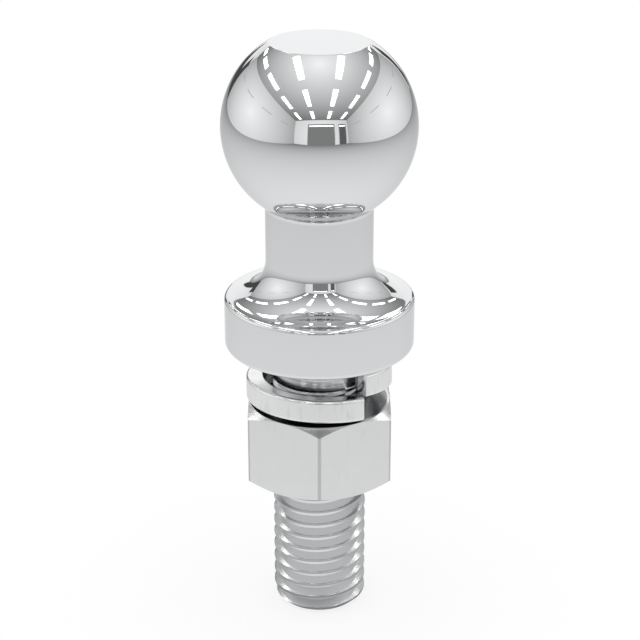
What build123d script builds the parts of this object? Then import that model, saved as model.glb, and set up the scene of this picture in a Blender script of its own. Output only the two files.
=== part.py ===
from build123d import *
from math import atan, cos, degrees, pi, radians, sqrt, tan
import os

# Towing ball stud with its spring washer and nut, standing on the end of its shank.
# Millimetres. +Z runs up the stud's axis from the flat end of the shank at z = 0.
# The photograph was taken from -Y, so "front" below means the -Y side.

# Ball and neck
BALL_DIAMETER = 50.8
BALL_FLAT_DIAMETER = 25.7  # flat ground on the top of the ball
BALL_HEIGHT = 60.4  # centre of the ball above the underside of the collar
NECK_DIAMETER = 28.4
BALL_FLAT_ROUNDING = 0.4
BALL_SEAT_FILLET = 2.0  # hollow between the ball and the neck

# Collar
COLLAR_DIAMETER = 50.6
COLLAR_THICKNESS = 14.05  # at the rim
COLLAR_SLOPE = 2.0  # degrees that the top falls towards the rim
COLLAR_LAND = 0.2  # left between the hollow sweep into the neck and the rounded rim
RIM_ROUNDING = 1.2
COLLAR_BASE_ROUNDING = 1.5
SHOULDER_FILLET = 0.8  # under the collar, where the shank begins

# Shank and its right-hand 60 degree thread
SHANK_DIAMETER = 25.4
SHANK_LENGTH = 77.1
SHANK_CHAMFER = 2.1
THREAD_DIAMETER = 25.3  # over the crests, a little under the smooth shank
THREAD_PITCH = 3.8
THREAD_DEPTH = 2.15
THREAD_CREST_WIDTH = 0.6
THREAD_FLANK = 30.0  # degrees from square to the axis
THREAD_RUNOUT = 3.0  # length in which the groove fades out
SHANK_PLAIN_LENGTH = 9.1  # left smooth between the run-out and the collar
THREAD_PHASE = 1.75  # height of the first crest at the front
THREAD_ROOTING = 0.55  # how deep the ridge is sunk in its core, where nothing shows

# Nut
NUT_SIDES = 6
NUT_ACROSS_FLATS = 38.3
NUT_HEIGHT = 21.6
NUT_CHAMFER = 30.0  # degrees that the corners are turned down at both ends
NUT_FACE_MARGIN = 0.1  # the flat end circle stops this far inside the flats
NUT_BELOW_COLLAR = 16.2  # from the collar down to the nut's top, where the spring washer lies loose
THREAD_RADIAL_CLEARANCE = 0.2
THREAD_AXIAL_CLEARANCE = 0.2
NUT_COUNTERSINK = 0.3  # how far the mouth of the bore is opened past the thread

# Spring washer
WASHER_OUTER_DIAMETER = 39.5
WASHER_INNER_DIAMETER = 30.4
WASHER_THICKNESS = 6.35
WASHER_RISE = 6.35  # climb of the free coil in one full turn
WASHER_SPLIT = 2.0  # degrees between the two cut ends
WASHER_LOW_END = 37.0  # degrees to the right of the front where the lower end lies
WASHER_OUTER_ROUNDING = 0.9
WASHER_INNER_ROUNDING = 0.4

# Worked out from the sizes above
ball_radius = BALL_DIAMETER / 2
shank_radius = SHANK_DIAMETER / 2
crest_radius = THREAD_DIAMETER / 2
root_radius = crest_radius - THREAD_DEPTH
ball_z = SHANK_LENGTH + BALL_HEIGHT
nut_top_z = SHANK_LENGTH - NUT_BELOW_COLLAR
nut_z = nut_top_z - NUT_HEIGHT
SPARE_TURNS = 4  # wound past both ends of a thread before it is cut to length
FRONT = -90.0  # turns a piece that was drawn with its front towards +X, so that it faces -Y


def nearest_corner(outline, r, z):
    """The corner of an outline that lies nearest to radius r and height z."""
    return outline.vertices().sort_by_distance((r, z, 0))[0]


def turned(outline):
    """A solid of revolution about Z from a half outline drawn as (radius, height)."""
    return revolve(Plane.XZ * outline, Axis.Z)


def threaded_bar(radial_growth, axial_growth, z_from, z_to):
    """A bar with the shank's thread, grown by two clearances, with turns to spare at both ends."""
    spread = tan(radians(THREAD_FLANK))
    core_radius = root_radius + radial_growth
    foot_radius = core_radius - THREAD_ROOTING
    tip_radius = crest_radius + radial_growth
    tip_width = THREAD_CREST_WIDTH + 2 * axial_growth - 2 * radial_growth * spread
    foot_width = tip_width + 2 * (tip_radius - foot_radius) * spread
    start_z = THREAD_PHASE + ((z_from - THREAD_PHASE) // THREAD_PITCH - 1) * THREAD_PITCH
    length = ((z_to - start_z) // THREAD_PITCH + 2) * THREAD_PITCH

    section = make_face(
        Polyline(
            (foot_radius, start_z - foot_width / 2),
            (tip_radius, start_z - tip_width / 2),
            (tip_radius, start_z + tip_width / 2),
            (foot_radius, start_z + foot_width / 2),
            close=True,
        )
    )
    path = Helix(THREAD_PITCH, length, tip_radius, center=(0, 0, start_z))
    ridge = sweep(Plane.XZ * section, path=path, is_frenet=True)
    middle_z = start_z + length / 2
    return Pos(0, 0, middle_z) * Cylinder(core_radius, length + 2 * THREAD_PITCH) + ridge


def ball_stud():
    """Ball, neck, collar and threaded shank, turned from one forging."""
    neck_radius = NECK_DIAMETER / 2
    collar_radius = COLLAR_DIAMETER / 2
    flat_z = ball_z + sqrt(ball_radius**2 - (BALL_FLAT_DIAMETER / 2) ** 2)
    seat_z = ball_z - sqrt(ball_radius**2 - neck_radius**2)
    rim_z = SHANK_LENGTH + COLLAR_THICKNESS
    top_width = collar_radius - neck_radius
    top_rise = top_width * tan(radians(COLLAR_SLOPE))
    # A rounding of radius 1 takes up this much of each side of the corners at both ends of the top.
    setback = tan(radians((90 - COLLAR_SLOPE) / 2))
    rim_setback = RIM_ROUNDING * setback
    neck_sweep = (top_width / cos(radians(COLLAR_SLOPE)) - COLLAR_LAND - rim_setback) / setback
    # The run-out is a cone that meets the root of the thread THREAD_RUNOUT below the plain shank.
    runout_z = SHANK_LENGTH - SHANK_PLAIN_LENGTH
    cone_tip_z = runout_z - shank_radius * THREAD_RUNOUT / (shank_radius - root_radius)

    column = make_face(
        Polyline(
            (0, cone_tip_z),
            (shank_radius, runout_z),
            (shank_radius, SHANK_LENGTH),
            (collar_radius, SHANK_LENGTH),
            (collar_radius, rim_z),
            (neck_radius, rim_z + top_rise),
            (neck_radius, ball_z),
            (0, ball_z),
            close=True,
        )
    )
    column = fillet(nearest_corner(column, neck_radius, rim_z + top_rise), neck_sweep)
    column = fillet(nearest_corner(column, collar_radius, rim_z), RIM_ROUNDING)
    column = fillet(nearest_corner(column, collar_radius, SHANK_LENGTH), COLLAR_BASE_ROUNDING)
    column = fillet(nearest_corner(column, shank_radius, SHANK_LENGTH), SHOULDER_FILLET)

    below_flat = Pos(0, flat_z - BALL_DIAMETER) * Rectangle(
        BALL_DIAMETER, BALL_DIAMETER, align=(Align.MIN, Align.MIN)
    )
    ball = Pos(0, ball_z) * Circle(ball_radius) & below_flat
    ball = fillet(nearest_corner(ball, BALL_FLAT_DIAMETER / 2, flat_z), BALL_FLAT_ROUNDING)
    whole = column + ball
    whole = fillet(nearest_corner(whole, neck_radius, seat_z), BALL_SEAT_FILLET)

    # The thread is cut on a longer bar, which is then faced to length and chamfered.
    past_end = SPARE_TURNS * THREAD_PITCH
    waste = make_face(
        Polyline(
            (0, -past_end),
            (2 * shank_radius, -past_end),
            (2 * shank_radius, shank_radius + SHANK_CHAMFER),
            (shank_radius - SHANK_CHAMFER, 0),
            (0, 0),
            close=True,
        )
    )
    bar = threaded_bar(0, 0, 0, runout_z) - turned(waste)
    return Rot(0, 0, FRONT) * (turned(whole) + bar)


def hex_nut():
    """Hexagon nut with its corners turned down at both ends, tapped to fit the shank."""
    corner_radius = NUT_ACROSS_FLATS / 2 / cos(pi / NUT_SIDES)
    face_radius = NUT_ACROSS_FLATS / 2 - NUT_FACE_MARGIN
    corner_drop = (corner_radius - face_radius) * tan(radians(NUT_CHAMFER))
    mouth_radius = crest_radius + THREAD_RADIAL_CLEARANCE + NUT_COUNTERSINK

    prism = extrude(Plane.XY.offset(nut_z) * RegularPolygon(corner_radius, NUT_SIDES), NUT_HEIGHT)
    envelope = make_face(
        Polyline(
            (0, nut_z),
            (face_radius, nut_z),
            (corner_radius, nut_z + corner_drop),
            (corner_radius, nut_top_z - corner_drop),
            (face_radius, nut_top_z),
            (0, nut_top_z),
            close=True,
        )
    )
    tap = threaded_bar(THREAD_RADIAL_CLEARANCE, THREAD_AXIAL_CLEARANCE, nut_z, nut_top_z)
    nut = (prism & turned(envelope)) - tap
    countersink = Cone(mouth_radius, 0, mouth_radius, align=(Align.CENTER, Align.CENTER, Align.MIN))
    nut -= Pos(0, 0, nut_z) * countersink
    nut -= Pos(0, 0, nut_top_z) * Rot(180, 0, 0) * countersink
    return Rot(0, 0, FRONT) * nut


def lock_washer():
    """Split spring washer in its free state: one left-hand coil, leaning as it rests on the nut."""
    inner_radius = WASHER_INNER_DIAMETER / 2
    outer_radius = WASHER_OUTER_DIAMETER / 2
    width = outer_radius - inner_radius
    middle_radius = inner_radius + width / 2
    section = Pos(middle_radius, WASHER_THICKNESS / 2) * Rectangle(width, WASHER_THICKNESS)
    by_radius = section.vertices().group_by(Axis.X)
    section = fillet(by_radius[-1], WASHER_OUTER_ROUNDING)
    section = fillet(section.vertices().group_by(Axis.X)[0], WASHER_INNER_ROUNDING)
    climb = WASHER_RISE * (360 - WASHER_SPLIT) / 360
    path = Helix(WASHER_RISE, climb, middle_radius, lefthand=True)
    coil = sweep(Plane.XZ * section, path=path, is_frenet=True)

    # It settles on the inner edge of its low end and on its outer edge straight across.
    # Between the two it arches clear of the nut, so it leans both along and across that line.
    climb_per_radian = WASHER_RISE / (2 * pi)
    lean_along = degrees(atan(climb_per_radian * pi / (inner_radius + outer_radius)))
    lean_across = degrees(atan(climb_per_radian / outer_radius))
    leaning = Rot(-lean_across, 0, 0) * Rot(0, -lean_along, 0) * coil
    placed = Rot(0, 0, FRONT + WASHER_LOW_END) * leaning
    lowest = placed.bounding_box().min.Z
    return Pos(0, 0, nut_top_z - lowest) * placed


os.makedirs("parts", exist_ok=True)
export_step(ball_stud(), "parts/ball_stud.step")
export_step(lock_washer(), "parts/lock_washer.step")
export_step(hex_nut(), "parts/hex_nut.step")
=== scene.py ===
# %% [markdown]
# A towing ball stud, with its spring washer and nut. The imported part is loaded first and never moves.
# The height at which each of its solids stands is printed.

# %% Load the imported part
from math import atan, cos, pi, radians, sin, sqrt, tan

import bmesh
import bpy
from mathutils import Matrix, Vector


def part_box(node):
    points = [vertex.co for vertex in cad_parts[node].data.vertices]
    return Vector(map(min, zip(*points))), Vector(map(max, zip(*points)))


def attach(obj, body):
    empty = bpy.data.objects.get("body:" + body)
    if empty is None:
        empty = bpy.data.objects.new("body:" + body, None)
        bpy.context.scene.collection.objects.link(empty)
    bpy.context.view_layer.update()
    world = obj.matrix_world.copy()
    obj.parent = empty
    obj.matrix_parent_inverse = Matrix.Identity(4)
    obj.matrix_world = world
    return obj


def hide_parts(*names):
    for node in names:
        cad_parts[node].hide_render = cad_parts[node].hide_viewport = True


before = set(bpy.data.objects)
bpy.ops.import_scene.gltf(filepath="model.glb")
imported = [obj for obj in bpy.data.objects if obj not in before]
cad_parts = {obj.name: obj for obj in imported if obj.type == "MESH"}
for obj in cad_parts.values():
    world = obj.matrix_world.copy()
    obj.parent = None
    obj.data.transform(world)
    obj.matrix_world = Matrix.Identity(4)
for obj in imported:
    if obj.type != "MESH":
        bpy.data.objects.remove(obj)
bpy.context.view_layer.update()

for name in sorted(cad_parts):
    low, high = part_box(name)
    print(name, "stands from", round(low.z * 1000, 2), "to", round(high.z * 1000, 2), "mm")

# %% [markdown]
# These are the sizes that a turner would read off the drawing, in metres by way of MM. The polished
# surfaces act as mirrors, and a mirror shows every facet, so the pieces are turned again here in far
# finer steps than a solid model needs. Each keeps the form and the place of its solid.

# %% Sizes of the real object
MM = 0.001

BALL_RADIUS = 25.4 * MM
BALL_FLAT_RADIUS = 12.85 * MM
BALL_Z = 137.5 * MM
BALL_FLAT_ROUNDING = 0.4 * MM
BALL_SEAT_FILLET = 2.0 * MM
NECK_RADIUS = 14.2 * MM
COLLAR_RADIUS = 25.3 * MM
COLLAR_SLOPE = radians(2)
COLLAR_THICKNESS = 14.05 * MM
COLLAR_LAND = 0.2 * MM
RIM_ROUNDING = 1.2 * MM
COLLAR_BASE_ROUNDING = 1.5 * MM
SHOULDER_FILLET = 0.8 * MM
SHANK_RADIUS = 12.7 * MM
SHANK_LENGTH = 77.1 * MM
SHANK_CHAMFER = 2.1 * MM
SHANK_PLAIN_LENGTH = 9.1 * MM

THREAD_RADIUS = 12.65 * MM
THREAD_PITCH = 3.8 * MM
THREAD_DEPTH = 2.15 * MM
THREAD_CREST_WIDTH = 0.6 * MM
THREAD_FLANK = radians(30)
THREAD_RUNOUT = 3.0 * MM
THREAD_PHASE = 1.75 * MM
THREAD_ROOTING = 0.55 * MM
THREAD_CLEARANCE = 0.2 * MM

NUT_ACROSS_FLATS = 38.3 * MM
NUT_HEIGHT = 21.6 * MM
NUT_CHAMFER = radians(30)
NUT_FACE_MARGIN = 0.1 * MM
NUT_COUNTERSINK = 0.3 * MM
NUT_BELOW_COLLAR = 16.2 * MM
NUT_TOP_Z = SHANK_LENGTH - NUT_BELOW_COLLAR
NUT_Z = NUT_TOP_Z - NUT_HEIGHT

WASHER_OUTER_RADIUS = 19.75 * MM
WASHER_INNER_RADIUS = 15.2 * MM
WASHER_THICKNESS = 6.35 * MM
WASHER_RISE = 6.35 * MM
WASHER_SPLIT = radians(2)
WASHER_LOW_END = radians(37)
WASHER_OUTER_ROUNDING = 0.9 * MM
WASHER_INNER_ROUNDING = 0.4 * MM

FRONT = radians(-90)  # turns what is drawn towards +X so that it faces the camera

# %% [markdown]
# Everything here is drawn as half an outline first: a wire of edges in the XZ plane. A corner that the
# lathe tool leaves round is a true arc, made by spinning one vertex about the arc's centre. Short edges
# beside each arc keep the shading of the long straight surfaces flat.

# %% Draw an outline with rounded corners
ARC_STEP = radians(3)
SHORTEST_CHORD = 0.1 * MM
EDGE_MARGIN = 0.06 * MM


def draw_to(bm, last, point):
    """Goes on from the last vertex in a straight line, with a short edge at both ends of a long one."""
    start, line = last.co.copy(), point - last.co
    stops = [line.length]
    if line.length > 4 * EDGE_MARGIN:
        stops = [EDGE_MARGIN, line.length - EDGE_MARGIN, line.length]
    for stop in stops:
        last = bmesh.ops.extrude_vert_indiv(bm, verts=[last])["verts"][0]
        last.co = start + line.normalized() * stop
    return last


def turn_about(bm, last, centre, angle, step=ARC_STEP):
    """Goes on from the last vertex along an arc; a positive angle turns from +X towards +Z."""
    arc_length = abs(angle) * (last.co - Vector(centre)).length
    steps = max(3, round(min(abs(angle) / step, arc_length / SHORTEST_CHORD)))
    made = bmesh.ops.spin(bm, geom=[last], cent=centre, axis=(0, -1, 0), angle=angle, steps=steps)
    return next(g for g in made["geom_last"] if isinstance(g, bmesh.types.BMVert))


def draw_outline(bm, corners, closed=False):
    """A wire through corners of (radius, height, rounding)."""
    points = [Vector((r, 0, z)) for r, z, rounding in corners]
    last = first = None
    for i, (r, z, rounding) in enumerate(corners):
        corner, before, after = points[i], points[i - 1], points[(i + 1) % len(points)]
        if rounding:
            back, ahead = (before - corner).normalized(), (after - corner).normalized()
            half = back.angle(ahead) / 2
            start = corner + back * rounding / tan(half)
            centre = corner + (back + ahead).normalized() * rounding / sin(half)
            side = 1 if ahead.cross(back).y < 0 else -1
        else:
            start = corner
        if last is None:
            last = first = bm.verts.new(start)
        else:
            last = draw_to(bm, last, start)
        if rounding:
            last = turn_about(bm, last, centre, side * (pi - 2 * half))
    if closed:
        last = draw_to(bm, last, first.co.copy())
    return last


# %% [markdown]
# A turned surface is its outline spun round the Z axis. Spinning slows down as the mesh grows, so an
# eighth is spun and copied seven times. Where the copies meet the doubles are merged, which also closes
# the poles on the axis, and the normals are recalculated after that.

# %% Turn an outline, and turn a mesh into an object
TURN_STEPS = 256
SECTORS = 8
DOUBLES = 0.001 * MM


def close_up(bm):
    """Merges doubles and points all faces outwards."""
    bmesh.ops.remove_doubles(bm, verts=bm.verts[:], dist=DOUBLES)
    bmesh.ops.dissolve_degenerate(bm, edges=bm.edges[:], dist=DOUBLES)
    bmesh.ops.recalc_face_normals(bm, faces=bm.faces[:])
    open_edges = [e for e in bm.edges if len(e.link_faces) != 2]
    print("  faces", len(bm.faces), "open edges", len(open_edges))


def turn_round(bm, steps=TURN_STEPS):
    """Turns the wire that the mesh holds into a closed surface round the Z axis."""
    sector = 2 * pi / SECTORS
    outline = bm.verts[:] + bm.edges[:]
    bmesh.ops.spin(bm, geom=outline, cent=(0, 0, 0), axis=(0, 0, 1), angle=sector, steps=steps // SECTORS)
    first = bm.verts[:] + bm.edges[:] + bm.faces[:]
    for i in range(1, SECTORS):
        copy = bmesh.ops.duplicate(bm, geom=first)["geom"]
        verts = [g for g in copy if isinstance(g, bmesh.types.BMVert)]
        bmesh.ops.rotate(bm, cent=(0, 0, 0), matrix=Matrix.Rotation(i * sector, 3, "Z"), verts=verts)
    close_up(bm)


def turned(corners, steps=TURN_STEPS):
    """A closed turned mesh from corners of (radius, height, rounding) that start and end on the axis."""
    bm = bmesh.new()
    draw_outline(bm, corners)
    turn_round(bm, steps)
    return bm


def as_object(bm, name):
    """An object at the origin that holds the mesh."""
    mesh = bpy.data.meshes.new(name)
    bm.to_mesh(mesh)
    bm.free()
    piece = bpy.data.objects.new(name, mesh)
    bpy.context.scene.collection.objects.link(piece)
    return piece


def combined(piece, other, operation):
    """Cuts, joins or intersects the piece with the other one, which is used up."""
    modifier = piece.modifiers.new(operation, "BOOLEAN")
    modifier.operation = operation
    modifier.solver = "MANIFOLD"
    modifier.object = other
    bpy.context.view_layer.update()
    evaluated = piece.evaluated_get(bpy.context.evaluated_depsgraph_get())
    result = bpy.data.meshes.new_from_object(evaluated)
    piece.modifiers.clear()
    piece.data = result
    bpy.data.objects.remove(other)
    print("  after", operation, "faces", len(result.polygons))
    return piece


# %% [markdown]
# The thread is the feature that takes most skill. On the real stud a die rolls or cuts it, and it is a
# trapezoid that climbs one pitch per turn. The spin operator has a dvec, which lifts every step a little,
# so a spun section becomes a coil. It is joined to a core, so a nut's tap is the same bar, a bit larger.

# %% Wind a thread
THREAD_STEPS = 120
CREST_ROUNDING = 0.1 * MM


def wound(corners, rise_per_turn, steps, angle=2 * pi, turns=1):
    """A closed coil: the section drawn by the corners is spun about Z as it rises, then copied upwards."""
    bm = bmesh.new()
    draw_outline(bm, corners, closed=True)
    bmesh.ops.remove_doubles(bm, verts=bm.verts[:], dist=DOUBLES)
    section = bm.verts[:] + bm.edges[:]
    lift = rise_per_turn * abs(angle) / (2 * pi) / steps
    step = (0, 0, lift)
    bmesh.ops.spin(bm, geom=section, cent=(0, 0, 0), axis=(0, 0, 1), dvec=step, angle=angle, steps=steps)
    first = bm.verts[:] + bm.edges[:] + bm.faces[:]
    for i in range(1, turns):
        copy = bmesh.ops.duplicate(bm, geom=first)["geom"]
        verts = [g for g in copy if isinstance(g, bmesh.types.BMVert)]
        bmesh.ops.translate(bm, vec=(0, 0, i * rise_per_turn), verts=verts)
    bmesh.ops.remove_doubles(bm, verts=bm.verts[:], dist=DOUBLES)
    bmesh.ops.holes_fill(bm, edges=[e for e in bm.edges if e.is_boundary], sides=0)
    close_up(bm)
    return bm


def threaded_bar(name, growth, z_from, z_to):
    """A core with the shank's thread wound on it, grown by a clearance, with turns to spare at both ends."""
    spread = tan(THREAD_FLANK)
    core_radius = THREAD_RADIUS - THREAD_DEPTH + growth
    foot_radius = core_radius - THREAD_ROOTING
    tip_radius = THREAD_RADIUS + growth
    tip_width = THREAD_CREST_WIDTH + 2 * growth * (1 - spread)
    foot_width = tip_width + 2 * (tip_radius - foot_radius) * spread
    start_z = THREAD_PHASE + ((z_from - THREAD_PHASE) // THREAD_PITCH - 1) * THREAD_PITCH
    turns = int((z_to - start_z) // THREAD_PITCH) + 2
    ridge = wound(
        [
            (foot_radius, start_z - foot_width / 2, 0),
            (tip_radius, start_z - tip_width / 2, CREST_ROUNDING),
            (tip_radius, start_z + tip_width / 2, CREST_ROUNDING),
            (foot_radius, start_z + foot_width / 2, 0),
        ],
        THREAD_PITCH,
        THREAD_STEPS,
        turns=turns,
    )
    end_z = start_z + turns * THREAD_PITCH
    core = turned(
        [
            (0, start_z - THREAD_PITCH, 0),
            (core_radius, start_z - THREAD_PITCH, 0),
            (core_radius, end_z + THREAD_PITCH, 0),
            (0, end_z + THREAD_PITCH, 0),
        ],
        THREAD_STEPS,
    )
    return combined(as_object(core, name), as_object(ridge, name + "_ridge"), "UNION")


# %% [markdown]
# The stud is one forging: ball, neck, collar and shank. It is turned in one outline from the cone of the
# thread's run-out to the top of the collar, then the ball. The threaded bar is faced and chamfered by
# meeting a plain bar with the right end, and all is joined, as the forging and the thread are one.

# %% Make the stud
SHARP_ANGLE = radians(25)
SHANK_END_ROUNDING = 0.15 * MM
SPARE = 1 * MM  # how far a cutting blank reaches past the piece that it cuts
BAR_BELOW_RUNOUT = 0.5 * MM  # the threaded bar ends this far inside the cone of the run-out


def finished(piece, body, node):
    """Shades the piece, hangs it on its body and lets it stand for its solid."""
    for polygon in piece.data.polygons:
        polygon.use_smooth = True
    piece.data.set_sharp_from_angle(angle=SHARP_ANGLE)
    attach(piece, body)
    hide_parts(node)
    print(piece.name, "has", sum(len(p.vertices) - 2 for p in piece.data.polygons), "triangles")
    return piece


def faced_front(piece):
    """Turns the mesh so that what was drawn towards +X faces the camera."""
    piece.data.transform(Matrix.Rotation(FRONT, 4, "Z"))
    return piece


def make_ball_stud():
    rim_z = SHANK_LENGTH + COLLAR_THICKNESS
    top_width = COLLAR_RADIUS - NECK_RADIUS
    top_rise = top_width * tan(COLLAR_SLOPE)
    setback = tan((pi / 2 - COLLAR_SLOPE) / 2)
    neck_sweep = (top_width / cos(COLLAR_SLOPE) - COLLAR_LAND) / setback - RIM_ROUNDING
    runout_z = SHANK_LENGTH - SHANK_PLAIN_LENGTH
    core_radius = THREAD_RADIUS - THREAD_DEPTH
    cone_tip_z = runout_z - SHANK_RADIUS * THREAD_RUNOUT / (SHANK_RADIUS - core_radius)
    # The hollow between neck and ball touches both, so its centre lies on a slightly larger ball.
    seat_r = NECK_RADIUS + BALL_SEAT_FILLET
    seat_z = BALL_Z - sqrt((BALL_RADIUS + BALL_SEAT_FILLET) ** 2 - seat_r**2)
    seat_angle = atan((BALL_Z - seat_z) / seat_r)
    flat_z = BALL_Z + sqrt(BALL_RADIUS**2 - BALL_FLAT_RADIUS**2)

    bm = bmesh.new()
    last = draw_outline(
        bm,
        [
            (0, cone_tip_z, 0),
            (SHANK_RADIUS, runout_z, 0),
            (SHANK_RADIUS, SHANK_LENGTH, SHOULDER_FILLET),
            (COLLAR_RADIUS, SHANK_LENGTH, COLLAR_BASE_ROUNDING),
            (COLLAR_RADIUS, rim_z, RIM_ROUNDING),
            (NECK_RADIUS, rim_z + top_rise, neck_sweep),
            (NECK_RADIUS, seat_z, 0),
        ],
    )
    # The rounding between ball and flat touches both, so its centre lies on a slightly smaller ball.
    inner_radius = BALL_RADIUS - BALL_FLAT_ROUNDING
    rounding_z = flat_z - BALL_FLAT_ROUNDING
    rounding_r = sqrt(inner_radius**2 - (rounding_z - BALL_Z) ** 2)
    high_angle = atan((rounding_z - BALL_Z) / rounding_r)
    last = turn_about(bm, last, (seat_r, 0, seat_z), -seat_angle)
    last = turn_about(bm, last, (0, 0, BALL_Z), high_angle + seat_angle, radians(1.5))
    last = turn_about(bm, last, (rounding_r, 0, rounding_z), pi / 2 - high_angle)
    draw_to(bm, last, Vector((0, 0, flat_z)))
    turn_round(bm)
    stud = as_object(bm, "chrome_ball_stud")

    bar = threaded_bar("threaded_shank", 0, 0, runout_z)
    blank = turned(
        [
            (0, 0, 0),
            (SHANK_RADIUS - SHANK_CHAMFER, 0, SHANK_END_ROUNDING),
            (SHANK_RADIUS + SPARE, SHANK_CHAMFER + SPARE, 0),
            (SHANK_RADIUS + SPARE, runout_z - BAR_BELOW_RUNOUT, 0),
            (0, runout_z - BAR_BELOW_RUNOUT, 0),
        ]
    )
    bar = combined(bar, as_object(blank, "shank_blank"), "INTERSECT")
    stud = combined(stud, bar, "UNION")
    return finished(faced_front(stud), "stud", "ball_stud")


ball_stud = make_ball_stud()

# %% [markdown]
# The nut is cold formed from hexagon bar: a six-sided prism whose corners are turned down at both ends.
# Meeting the prism with a turned blank leaves the curved lines that such a nut has on its faces. It is
# then tapped with the shank's own thread, a little larger, and countersunk at both mouths.

# %% Make the nut
NUT_EDGE_ROUNDING = 0.35 * MM
NUT_FACE_ROUNDING = 0.3 * MM
NUT_CORNER_RADIUS = NUT_ACROSS_FLATS / 2 / cos(pi / 6)


def make_hex_nut():
    face_radius = NUT_ACROSS_FLATS / 2 - NUT_FACE_MARGIN
    corner_drop = (NUT_CORNER_RADIUS - face_radius) * tan(NUT_CHAMFER)
    mouth_radius = THREAD_RADIUS + THREAD_CLEARANCE + NUT_COUNTERSINK

    bm = bmesh.new()
    foot = Matrix.Translation((0, 0, NUT_Z))
    bmesh.ops.create_circle(bm, cap_ends=True, segments=6, radius=NUT_CORNER_RADIUS, matrix=foot)
    risen = bmesh.ops.extrude_face_region(bm, geom=bm.faces[:])["geom"]
    risen = [g for g in risen if isinstance(g, bmesh.types.BMVert)]
    bmesh.ops.translate(bm, vec=(0, 0, NUT_HEIGHT), verts=risen)
    upright = [e for e in bm.edges if abs(e.verts[0].co.z - e.verts[1].co.z) > NUT_HEIGHT / 2]
    bmesh.ops.bevel(
        bm, geom=upright, offset=NUT_EDGE_ROUNDING, segments=4, profile=0.5, affect="EDGES", material=-1
    )
    close_up(bm)
    nut = as_object(bm, "zinc_hex_nut")

    spare_drop = SPARE * tan(NUT_CHAMFER)
    blank = turned(
        [
            (0, NUT_Z, 0),
            (face_radius, NUT_Z, NUT_FACE_ROUNDING),
            (NUT_CORNER_RADIUS + SPARE, NUT_Z + corner_drop + spare_drop, 0),
            (NUT_CORNER_RADIUS + SPARE, NUT_TOP_Z - corner_drop - spare_drop, 0),
            (face_radius, NUT_TOP_Z, NUT_FACE_ROUNDING),
            (0, NUT_TOP_Z, 0),
        ]
    )
    nut = combined(nut, as_object(blank, "nut_blank"), "INTERSECT")
    nut = combined(nut, faced_front(threaded_bar("tap", THREAD_CLEARANCE, NUT_Z, NUT_TOP_Z)), "DIFFERENCE")
    for mouth_z, side in ((NUT_Z, -1), (NUT_TOP_Z, 1)):
        countersink = turned(
            [
                (0, mouth_z - side * mouth_radius, 0),
                (mouth_radius + SPARE, mouth_z + side * SPARE, 0),
                (0, mouth_z + side * SPARE, 0),
            ]
        )
        nut = combined(nut, as_object(countersink, "countersink"), "DIFFERENCE")
    return finished(nut, "nut", "hex_nut")


hex_nut = make_hex_nut()

# %% [markdown]
# A spring washer is wound from flat wire and cut, so it is one turn of a left-hand coil whose ends stand
# apart. Loose on the nut it rests on the inner edge of its low end and on its outer edge straight across,
# so it leans both along and across that line.

# %% Make the spring washer
WASHER_STEPS = 240
WASHER_END_ROUNDING = 0.15 * MM


def make_lock_washer():
    coil = wound(
        [
            (WASHER_INNER_RADIUS, 0, WASHER_INNER_ROUNDING),
            (WASHER_OUTER_RADIUS, 0, WASHER_OUTER_ROUNDING),
            (WASHER_OUTER_RADIUS, WASHER_THICKNESS, WASHER_OUTER_ROUNDING),
            (WASHER_INNER_RADIUS, WASHER_THICKNESS, WASHER_INNER_ROUNDING),
        ],
        WASHER_RISE,
        WASHER_STEPS,
        angle=WASHER_SPLIT - 2 * pi,
    )
    ends = [f for f in coil.faces if len(f.verts) > 4]
    rims = list({e for f in ends for e in f.edges})
    bmesh.ops.bevel(
        coil, geom=rims, offset=WASHER_END_ROUNDING, segments=2, profile=0.5, affect="EDGES", material=-1
    )
    washer = as_object(coil, "zinc_lock_washer")

    climb_per_radian = WASHER_RISE / (2 * pi)
    lean_along = atan(climb_per_radian * pi / (WASHER_INNER_RADIUS + WASHER_OUTER_RADIUS))
    lean_across = atan(climb_per_radian / WASHER_OUTER_RADIUS)
    place = Matrix.Rotation(FRONT + WASHER_LOW_END, 4, "Z")
    place = place @ Matrix.Rotation(-lean_across, 4, "X") @ Matrix.Rotation(-lean_along, 4, "Y")
    washer.data.transform(place)
    lowest = min(v.co.z for v in washer.data.vertices)
    washer.data.transform(Matrix.Translation((0, 0, NUT_TOP_Z - lowest)))
    return finished(washer, "washer", "lock_washer")


lock_washer = make_lock_washer()

# %% [markdown]
# Colours are written as sRGB hex values, as on a paint card, and one function turns them to the linear
# values that the shaders take. One more adds a node with its settings and its links.

# %% Colours and nodes


def colour(hex_value):
    """Linear red, green, blue and alpha from an sRGB value such as 0xD6D7D8."""
    parts = [((hex_value >> shift) & 255) / 255 for shift in (16, 8, 0)]
    return [c / 12.92 if c <= 0.04045 else ((c + 0.055) / 1.055) ** 2.4 for c in parts] + [1.0]


def add(tree, kind, inputs=(), **settings):
    """Adds a node, sets its settings and inputs, and returns it; an input may be another node's output."""
    node = tree.nodes.new(kind)
    for name, value in settings.items():
        setattr(node, name, value)
    for socket, value in dict(inputs).items():
        if isinstance(value, bpy.types.NodeSocket):
            tree.links.new(value, node.inputs[socket])
        else:
            node.inputs[socket].default_value = value
    return node


def new_material(name):
    """An empty material and its node tree."""
    material = bpy.data.materials.new(name)
    material.use_nodes = True
    material.node_tree.nodes.clear()
    return material, material.node_tree


# %% [markdown]
# Chrome plate is a thin, very hard and cool grey metal over polished nickel. It reflects about two thirds
# of the light, nearly like a mirror, and polishing leaves a slight haze that varies. The shank was only
# turned before it was plated, so fine lines run round it, and the thread is duller still.

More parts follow.
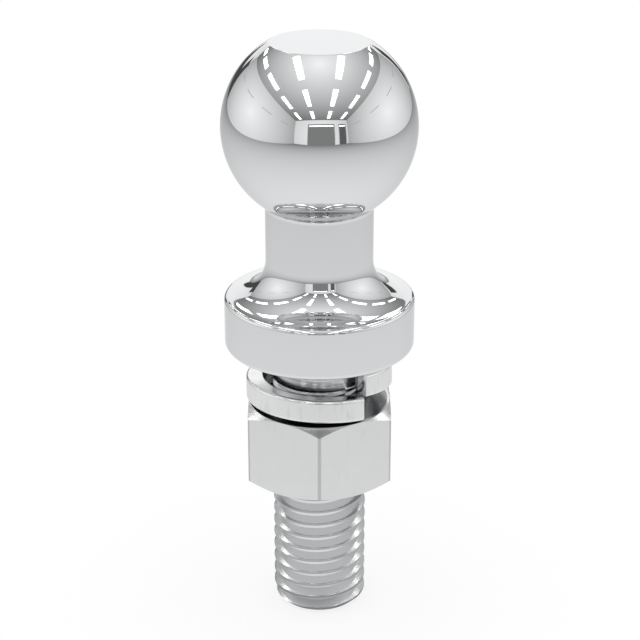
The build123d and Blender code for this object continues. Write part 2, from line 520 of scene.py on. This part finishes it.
# %% Polished chrome plate
DULL_THREAD_ROUGHNESS = 0.18
DULL_SHANK_ROUGHNESS = 0.12
FADE_LENGTH = 1 * MM  # over which one finish passes into the next along the shank
CREST_DEPTH = 0.04 * MM  # what lies less deep than this belongs to the crest of the thread
FLANK_DEPTH = 0.2 * MM  # and what lies deeper than this to its flanks
# Within this depth of the crest, the crest's painted shade is full.
CREST_SHADE_DEPTH = 0.01 * MM
LINE_DEPTH = 0.03 * MM
LINES_PER_METRE = 5000


def from_axis(tree, place):
    """How far from the Z axis each point lies."""
    outwards = add(tree, "ShaderNodeVectorMath", {0: place, 1: (1, 1, 0)}, operation="MULTIPLY")
    outwards = {0: outwards.outputs["Vector"]}
    return add(tree, "ShaderNodeVectorMath", outwards, operation="LENGTH").outputs["Value"]


def polished_chrome_plate():
    material, tree = new_material("polished_chrome_plate")
    place = add(tree, "ShaderNodeTexCoord").outputs["Object"]
    height = add(tree, "ShaderNodeSeparateXYZ", {"Vector": place}).outputs["Z"]
    radius = from_axis(tree, place)
    haze = add(tree, "ShaderNodeTexNoise", {"Vector": place, "Scale": 90.0, "Detail": 3.0}).outputs["Fac"]
    haze_range = {"Value": haze, "From Min": 0.35, "From Max": 0.7, "To Min": 0.02, "To Max": 0.045}
    polish = add(tree, "ShaderNodeMapRange", haze_range).outputs["Result"]

    # The flanks of the thread are duller than its crest, which the nut has rubbed smooth.
    thread_top = SHANK_LENGTH - SHANK_PLAIN_LENGTH
    below = {"Value": height, "From Min": thread_top, "From Max": thread_top - FADE_LENGTH}
    on_thread = add(tree, "ShaderNodeMapRange", below).outputs["Result"]
    crest_foot, flank_top = THREAD_RADIUS - CREST_DEPTH, THREAD_RADIUS - FLANK_DEPTH
    inside = {"Value": radius, "From Min": crest_foot, "From Max": flank_top, "To Max": DULL_THREAD_ROUGHNESS}
    off_crest = add(tree, "ShaderNodeMapRange", inside).outputs["Result"]
    dull = add(tree, "ShaderNodeMath", {0: on_thread, 1: off_crest}, operation="MULTIPLY").outputs[0]
    roughness = add(tree, "ShaderNodeMath", {0: polish, 1: dull}, operation="ADD").outputs[0]

    # Turning lines, which the polishing wheel has not reached below the collar. Real ones are 0.1 mm apart.
    # They are drawn 0.2 mm apart here, since finer ones would not show.
    squeezed = {0: place, 1: (20, 20, LINES_PER_METRE)}
    squeezed = add(tree, "ShaderNodeVectorMath", squeezed, operation="MULTIPLY")
    lines = {"Vector": squeezed.outputs["Vector"], "Scale": 1.0, "Detail": 2.0}
    lines = add(tree, "ShaderNodeTexNoise", lines).outputs["Fac"]
    below = {"Value": height, "From Min": SHANK_LENGTH, "From Max": SHANK_LENGTH - FADE_LENGTH}
    on_shank = add(tree, "ShaderNodeMapRange", below).outputs["Result"]
    strength = add(tree, "ShaderNodeMath", {0: on_shank, 1: 0.35}, operation="MULTIPLY").outputs[0]
    grooves = {"Height": lines, "Strength": strength, "Distance": LINE_DEPTH}
    turning = add(tree, "ShaderNodeBump", grooves).outputs["Normal"]
    on_plain = add(tree, "ShaderNodeMath", {0: height, 1: thread_top}, operation="GREATER_THAN").outputs[0]
    on_plain = add(tree, "ShaderNodeMath", {0: on_plain, 1: on_shank}, operation="MULTIPLY").outputs[0]
    more = {0: on_plain, 1: DULL_SHANK_ROUGHNESS, 2: roughness}
    roughness = add(tree, "ShaderNodeMath", more, operation="MULTIPLY_ADD").outputs[0]

    # The plain shank is tinted darker, partly in dark turning lines and partly as painted shade where it
    # stands in the washer's hole under the collar. The crest of the thread is tinted darker as a painted
    # reflection of the shaded floor near the foot.
    line_range = {"Value": lines, "From Min": 0.35, "From Max": 0.65, "To Min": 0.1, "To Max": 0.8}
    dark_lines_and_shade = add(tree, "ShaderNodeMapRange", line_range).outputs["Result"]
    dark_lines_and_shade = add(tree, "ShaderNodeMath", {0: dark_lines_and_shade, 1: on_plain}, operation="MULTIPLY").outputs[0]
    # Painted shade: the crest of the thread is tinted darker, standing in for the shaded floor that it
    # mirrors.
    outside = {"Value": radius, "From Min": crest_foot, "From Max": THREAD_RADIUS - CREST_SHADE_DEPTH}
    crest_shade = add(tree, "ShaderNodeMapRange", outside).outputs["Result"]
    crest_shade = add(tree, "ShaderNodeMath", {0: crest_shade, 1: on_thread}, operation="MULTIPLY").outputs[0]
    dark = add(tree, "ShaderNodeMath", {0: dark_lines_and_shade, 1: crest_shade}, operation="MAXIMUM").outputs[0]
    shades = {"Factor": dark, 6: colour(0xD6D7D8), 7: colour(0xA4A5A6)}
    tint = add(tree, "ShaderNodeMix", shades, data_type="RGBA").outputs[2]

    # Chromium reflects no more at a slant than face on, until the slant is extreme.
    looks = {"Base Color": tint, "Metallic": 1.0, "Roughness": roughness, "Specular Tint": colour(0xECECEC)}
    # The die's lines run round the thread, and spread a lamp's reflection across them.
    round_axis = add(tree, "ShaderNodeTangent", direction_type="RADIAL", axis="Z").outputs["Tangent"]
    looks |= {"Normal": turning, "Anisotropic": 0.8, "Tangent": round_axis}
    surface = add(tree, "ShaderNodeBsdfPrincipled", looks)
    add(tree, "ShaderNodeOutputMaterial", {"Surface": surface.outputs["BSDF"]})
    return material


ball_stud.data.materials.clear()
ball_stud.data.materials.append(polished_chrome_plate())
print("stud is plated with", ball_stud.data.materials[0].name)

# %% [markdown]
# Bright zinc plate on the nut and the washer is softer: a satin metal, with the marks of forming and of
# tumbling in the plating barrel. The nut's upright corners are coloured a darker line.

# %% Bright zinc plate
SHADE_EDGE = 0.2 * MM  # over which the painted shade near the bore passes into plain plate
DARK_CORNER_WIDTH = 0.18 * MM


def bright_zinc_plate(name, pale, paler, streaks, smoothest, roughest, shaded_within, dark_corner_from):
    """Zinc with painted shade nearer to the axis than the first of its two radii, and a darker line further
    out than the second.
    """
    material, tree = new_material(name)
    place = add(tree, "ShaderNodeTexCoord").outputs["Object"]
    mottle = add(tree, "ShaderNodeTexNoise", {"Vector": place, "Scale": 200.0, "Detail": 5.0}).outputs["Fac"]
    shades = {"Factor": mottle, 6: pale, 7: paler}
    tint = add(tree, "ShaderNodeMix", shades, data_type="RGBA").outputs[2]

    # Where the plating ran down as it dried, there are streaks about a millimetre wide.
    stretched = add(tree, "ShaderNodeVectorMath", {0: place, 1: (700, 700, 200)}, operation="MULTIPLY")
    runs = {"Vector": stretched.outputs["Vector"], "Scale": 1.0, "Detail": 3.0}
    runs = add(tree, "ShaderNodeTexNoise", runs).outputs["Fac"]
    run_range = {"Value": runs, "From Min": 0.55, "From Max": 0.75, "To Max": streaks}
    run = add(tree, "ShaderNodeMapRange", run_range).outputs["Result"]
    shades = {"Factor": run, 6: tint, 7: colour(0xA8A9AA)}
    tint = add(tree, "ShaderNodeMix", shades, data_type="RGBA").outputs[2]

    # Painted shade darkens the plate near the bore, in the recess under the washer and inside its hole, and
    # the outermost corners are coloured a darker line.
    radius = from_axis(tree, place)
    inside = {"Value": radius, "From Min": shaded_within, "From Max": shaded_within - SHADE_EDGE}
    bore_shade = add(tree, "ShaderNodeMapRange", inside).outputs["Result"]
    shades = {"Factor": bore_shade, 6: tint, 7: colour(0x8C8D8E)}
    tint = add(tree, "ShaderNodeMix", shades, data_type="RGBA").outputs[2]
    outside = {"Value": radius, "From Min": dark_corner_from, "From Max": dark_corner_from + DARK_CORNER_WIDTH}
    dark_corner = add(tree, "ShaderNodeMapRange", outside).outputs["Result"]
    shades = {"Factor": dark_corner, 6: tint, 7: colour(0xB4B5B6)}
    tint = add(tree, "ShaderNodeMix", shades, data_type="RGBA").outputs[2]

    satin = {"Value": mottle, "From Min": 0.3, "From Max": 0.7, "To Min": smoothest, "To Max": roughest}
    roughness = add(tree, "ShaderNodeMapRange", satin).outputs["Result"]
    looks = {"Base Color": tint, "Metallic": 1.0, "Roughness": roughness, "Specular Tint": colour(0xECECEC)}
    surface = add(tree, "ShaderNodeBsdfPrincipled", looks)
    add(tree, "ShaderNodeOutputMaterial", {"Surface": surface.outputs["BSDF"]})
    return material


nut_plate = bright_zinc_plate(
    "nut_zinc_plate",
    pale=colour(0xCDCECF),
    paler=colour(0xD6D6D6),
    streaks=0.08,
    smoothest=0.18,
    roughest=0.26,
    shaded_within=18.5 * MM,
    dark_corner_from=NUT_CORNER_RADIUS - 0.34 * MM,
)
washer_plate = bright_zinc_plate(
    "washer_zinc_plate",
    pale=colour(0xDADBDC),
    paler=colour(0xE4E4E4),
    streaks=0.25,
    smoothest=0.12,
    roughest=0.2,
    shaded_within=WASHER_INNER_RADIUS + 0.3 * MM,
    dark_corner_from=NUT_CORNER_RADIUS,
)
hex_nut.data.materials.clear()
hex_nut.data.materials.append(nut_plate)
lock_washer.data.materials.clear()
lock_washer.data.materials.append(washer_plate)
print("nut and washer are plated with", nut_plate.name, "and", washer_plate.name)

# %% [markdown]
# Chrome looks like what stands around it. The stud was lit in a low white booth with rows of tube lamps
# on its ceiling and dark openings in its end wall, and those are what the ball mirrors. The booth is
# plain boards that give a soft light. The camera doesn't see them, so the background stays white.

# %% Sizes of the booth
BOOTH_TURN = radians(2.1)
CEILING_Z = BALL_Z + 0.69
HALF_WIDTH = 0.938
END_DISTANCE = 1.60
LAMP_LENGTH = 0.435
LAMP_WIDTH = 0.081
LAMP_SPACING = 0.631
LAMP_COLUMNS = (-0.69, -0.235, 0.235, 0.69)
LAMP_ROWS = (-2, -1, 0, 1, 2)
DOOR_TOP = 0.68
WIDE_OPENING = (-0.44, 0.44)
NARROW_OPENING = (0.59, 0.86)
OPENING_LAMPS = ((-0.395, 0.79), (0.61, 0.22))  # left end and length of the lamp in each
OPENING_LAMP_Z = 0.6
OPENING_LAMP_HEIGHT = 0.03
BACK_OPENING = (0.625, 0.87)
BACK_OPENING_TOP = 0.59
BACK_CORNER_FROM = 0.77
SIDE_OPENING_FROM = 1.43
BENCH_TOP = 0.29
BENCH_TO = -0.3
PROUD = 0.002  # how far a lamp or an opening stands in front of its wall
SLOT_Z = BALL_Z + 0.38
SLOT_LENGTH = 0.31
SLOT_THICKNESS = 0.008
SLOT_CENTRES = (-0.99, -0.34, 0.27, 0.90)


def board(name, corner, across, up, material):
    """A flat board from one corner and its two sides, in the booth's own turned frame."""
    bm = bmesh.new()
    bmesh.ops.create_grid(bm, x_segments=1, y_segments=1, size=0.5)
    corner, across, up = Vector(corner), Vector(across), Vector(up)
    for vert in bm.verts:
        vert.co = corner + across * (vert.co.x + 0.5) + up * (vert.co.y + 0.5)
    bmesh.ops.rotate(bm, cent=(0, 0, 0), matrix=Matrix.Rotation(BOOTH_TURN, 3, "Z"), verts=bm.verts[:])
    piece = as_object(bm, name)
    piece.data.materials.append(material)
    piece.visible_camera = False
    return piece


def glow(tree, peak, centre, reach):
    """A light level that is strongest at one place and dies away from it, as on a board lit by lamps."""
    place = add(tree, "ShaderNodeTexCoord")
    away = add(tree, "ShaderNodeVectorMath", {0: place.outputs["Object"], 1: centre}, operation="SUBTRACT")
    away = add(tree, "ShaderNodeVectorMath", {0: away.outputs["Vector"], 1: reach}, operation="DIVIDE")
    away = add(tree, "ShaderNodeVectorMath", {0: away.outputs["Vector"]}, operation="LENGTH")
    fall = add(tree, "ShaderNodeMath", {0: away.outputs["Value"], 1: -1.0}, operation="MULTIPLY")
    share = add(tree, "ShaderNodeMath", {0: fall.outputs[0]}, operation="EXPONENT")
    return add(tree, "ShaderNodeMath", {0: share.outputs[0], 1: peak}, operation="MULTIPLY").outputs[0]


def glowing(name, peak, centre=(0, 0, 0), reach=(100, 100, 100)):
    """A board that gives light, evenly if no reach is given."""
    material, tree = new_material(name)
    level = glow(tree, peak, centre, reach)
    light = add(tree, "ShaderNodeEmission", {"Color": (1, 1, 1, 1), "Strength": level})
    add(tree, "ShaderNodeOutputMaterial", {"Surface": light.outputs["Emission"]})
    return material


print("booth", 2 * HALF_WIDTH, "by", 2 * END_DISTANCE, "m, ceiling at", round(CEILING_Z, 3), "m")

# %% [markdown]
# A board is the unit grid moved to its place. Each end wall has its openings as darker boards just in front
# of it, and each lamp is a bright board just under the ceiling, so nothing has to be cut out.

# %% Build the booth
lit_z = BALL_Z + 0.2
ceiling_board = glowing("ceiling_board", 1.32, (0, 0, CEILING_Z), (0.947, 1.02, 1))
near_board = glowing("near_board", 1.25, (0, 0, lit_z), (3.2, 100, 3.2))
far_board = glowing("far_board", 1.46, (0, 0, lit_z), (3.2, 100, 3.2))
lamp_tube = glowing("lamp_tube", 4.6)
dim_opening = glowing("dim_opening", 0.29)
dark_opening = glowing("dark_opening", 0.15)
back_shade = glowing("back_shade", 0.09)
slot_shade = glowing("slot_shade", 0.3)


def opening(name, x_from, x_to, y, top, material):
    """An opening in an end wall, as a darker board just in front of it."""
    board(name, (x_from, y, 0), (x_to - x_from, 0, 0), (0, 0, top), material)


whole_length, whole_width = (0, 2 * END_DISTANCE, 0), (2 * HALF_WIDTH, 0, 0)
board("ceiling", (-HALF_WIDTH, -END_DISTANCE, CEILING_Z), whole_width, whole_length, ceiling_board)
for side in (-1, 1):
    side_board = glowing("side_board", 1.3, (side * HALF_WIDTH, 0, lit_z), (1, 1.9, 1.39))
    board("side_wall", (side * HALF_WIDTH, -END_DISTANCE, 0), whole_length, (0, 0, CEILING_Z), side_board)
    end_board = near_board if side < 0 else far_board
    board("end_wall", (-HALF_WIDTH, side * END_DISTANCE, 0), whole_width, (0, 0, CEILING_Z), end_board)
    for middle in SLOT_CENTRES:
        corner = (side * (HALF_WIDTH - PROUD), middle - SLOT_LENGTH / 2, SLOT_Z)
        board("wall_slot", corner, (0, SLOT_LENGTH, 0), (0, 0, SLOT_THICKNESS), slot_shade)
for row in LAMP_ROWS:
    for column in LAMP_COLUMNS:
        corner = (column - LAMP_WIDTH / 2, row * LAMP_SPACING - LAMP_LENGTH / 2, CEILING_Z - PROUD)
        board("lamp", corner, (LAMP_WIDTH, 0, 0), (0, LAMP_LENGTH, 0), lamp_tube)

near_end, far_end = -END_DISTANCE + PROUD, END_DISTANCE - PROUD
opening("wide_opening", *WIDE_OPENING, near_end, DOOR_TOP, dim_opening)
opening("narrow_opening", *NARROW_OPENING, near_end, DOOR_TOP, dark_opening)
for left, length in OPENING_LAMPS:
    corner = (left, near_end + PROUD, OPENING_LAMP_Z)
    board("opening_lamp", corner, (length, 0, 0), (0, 0, OPENING_LAMP_HEIGHT), lamp_tube)
opening("back_opening", *BACK_OPENING, far_end, BACK_OPENING_TOP, back_shade)
opening("back_corner", -HALF_WIDTH, -BACK_CORNER_FROM, far_end, BACK_OPENING_TOP, back_shade)
opening("bench", -BACK_CORNER_FROM, BENCH_TO, far_end, BENCH_TOP, back_shade)
side_corner = (-HALF_WIDTH + PROUD, SIDE_OPENING_FROM, 0)
side_length = (0, END_DISTANCE - SIDE_OPENING_FROM, 0)
board("side_opening", side_corner, side_length, (0, 0, BACK_OPENING_TOP), back_shade)

# %% [markdown]
# The floor is plain and pale. Near the stud it is a matt board that takes the stud's soft shadow. Further
# out, what the camera, the metal and any glass see of it fades to the white of the background. In the
# metal alone it is painted darker: shade towards the walls, and the stud's shadow beside the shank.

# %% Lay the floor
FLOOR_HALF = 3.0
FLOOR_FADE_FROM = 0.015
FLOOR_FADE_TO = 0.11
FLOOR_NEAR_SHARE = 0.8  # of the white near the stud; the rest is the matt board with its shadow
FOOT_SHADE = 0.3  # what the metal sees of the floor right beside the shank
FOOT_SHADE_TO = 0.03


def seen_plainly(tree, rays):
    """1 for the rays of the camera and for what metal and glass show, else 0."""
    seen = {0: rays.outputs["Is Camera Ray"], 1: rays.outputs["Is Glossy Ray"]}
    seen = add(tree, "ShaderNodeMath", seen, operation="MAXIMUM").outputs[0]
    seen = {0: seen, 1: rays.outputs["Is Transmission Ray"]}
    return add(tree, "ShaderNodeMath", seen, operation="MAXIMUM").outputs[0]


def pale_floor():
    material, tree = new_material("pale_floor")
    rays = add(tree, "ShaderNodeLightPath")
    place = add(tree, "ShaderNodeTexCoord").outputs["Object"]
    distance = add(tree, "ShaderNodeVectorMath", {0: place}, operation="LENGTH").outputs["Value"]
    fade = {"Value": distance, "From Min": FLOOR_FADE_FROM, "From Max": FLOOR_FADE_TO}
    fade["To Min"] = FLOOR_NEAR_SHARE
    far = add(tree, "ShaderNodeMapRange", fade, interpolation_type="SMOOTHSTEP").outputs["Result"]
    share = {0: seen_plainly(tree, rays), 1: far}
    share = add(tree, "ShaderNodeMath", share, operation="MULTIPLY").outputs[0]

    # What the metal sees of the floor: painted shade towards the walls, and a painted shadow beside the
    # shank.
    in_metal = glow(tree, 1.12, (0, 0, 0), (1.15, 1.15, 1))
    foot = {"Value": distance, "From Min": SHANK_RADIUS, "From Max": FOOT_SHADE_TO, "To Min": FOOT_SHADE}
    at_foot = add(tree, "ShaderNodeMapRange", foot).outputs["Result"]
    in_metal = add(tree, "ShaderNodeMath", {0: in_metal, 1: at_foot}, operation="MULTIPLY").outputs[0]
    strength = {"Factor": rays.outputs["Is Camera Ray"], 2: in_metal, 3: 1.0}
    strength = add(tree, "ShaderNodeMix", strength, data_type="FLOAT").outputs[0]

    matt = add(tree, "ShaderNodeBsdfDiffuse", {"Color": colour(0xF4F4F4)}).outputs["BSDF"]
    white = add(tree, "ShaderNodeEmission", {"Color": (1, 1, 1, 1), "Strength": strength})
    both = add(tree, "ShaderNodeMixShader", {0: share, 1: matt, 2: white.outputs["Emission"]})
    add(tree, "ShaderNodeOutputMaterial", {"Surface": both.outputs["Shader"]})
    return material


bm = bmesh.new()
bmesh.ops.create_grid(bm, x_segments=1, y_segments=1, size=FLOOR_HALF)
floor = as_object(bm, "floor")
floor.data.materials.append(pale_floor())
print("floor", 2 * FLOOR_HALF, "m wide")

# %% [markdown]
# The world is the white background, for the camera and for what metal and glass show of it.

# %% White background
world = bpy.data.worlds.new("white_background")
bpy.context.scene.world = world
world.use_nodes = True
world.node_tree.nodes.clear()
rays = add(world.node_tree, "ShaderNodeLightPath")
seen = {"Value": seen_plainly(world.node_tree, rays), "To Min": 0.8, "To Max": 1.0}
level = add(world.node_tree, "ShaderNodeMapRange", seen).outputs["Result"]
sky = add(world.node_tree, "ShaderNodeBackground", {"Color": (1, 1, 1, 1), "Strength": level})
add(world.node_tree, "ShaderNodeOutputWorld", {"Surface": sky.outputs["Background"]})

# %% [markdown]
# The camera stands where the photograph was taken: about half a metre away, looking down at the collar.

# %% Place the camera
CAMERA_PLACE = (0.15 * MM, -453.56 * MM, 276.92 * MM)
CAMERA_PITCH = radians(23.09)
CAMERA_LENS = 103.9

camera_data = bpy.data.cameras.new("camera")
camera_data.lens = CAMERA_LENS
camera_data.sensor_width = 36
camera_data.clip_start = 0.01
camera = bpy.data.objects.new("camera", camera_data)
camera.location = CAMERA_PLACE
camera.rotation_euler = (pi / 2 - CAMERA_PITCH, 0, 0)
bpy.context.scene.collection.objects.link(camera)
bpy.context.scene.camera = camera
bpy.context.scene.view_settings.view_transform = "Standard"
print("camera", round(camera.location.length, 3), "m from the foot of the stud")
